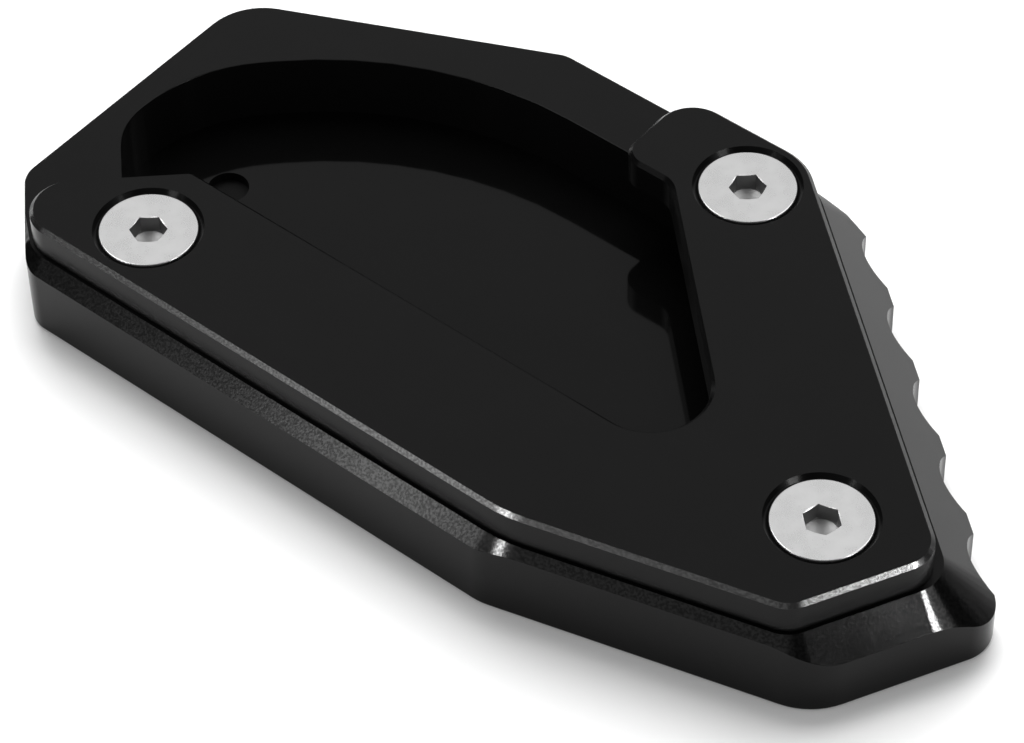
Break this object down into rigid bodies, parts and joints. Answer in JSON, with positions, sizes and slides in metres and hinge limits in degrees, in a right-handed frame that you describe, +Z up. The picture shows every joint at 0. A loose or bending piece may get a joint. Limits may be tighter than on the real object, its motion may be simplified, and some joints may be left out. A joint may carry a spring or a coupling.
{
  "type": "kickstand foot enlarger",
  "caption": "Milled pad with a pocket for a motorcycle side stand's foot, closed by a screwed clamp plate, that widens the foot on soft ground.",
  "frame": {"origin": "centre of the bounding box's bottom, on the ground under the pad", "axes": "+X along the long straight front-left edge towards the pointed end, +Y away from that edge towards the rear screw, +Z up out of the pocket"},
  "size_m": [0.1297, 0.0701, 0.0154],
  "materials": {
    "black_base": "black anodised, satin milled surfaces",
    "black_clamp": "black anodised, smooth satin gloss",
    "bright_screw": "fine turned stainless steel"
  },
  "bodies": {
    "root": {"base_plate": "black_base", "clamp_plate": "black_clamp", "screw_left": "bright_screw", "screw_rear": "bright_screw", "screw_front": "bright_screw"}
  },
  "joints": []
}
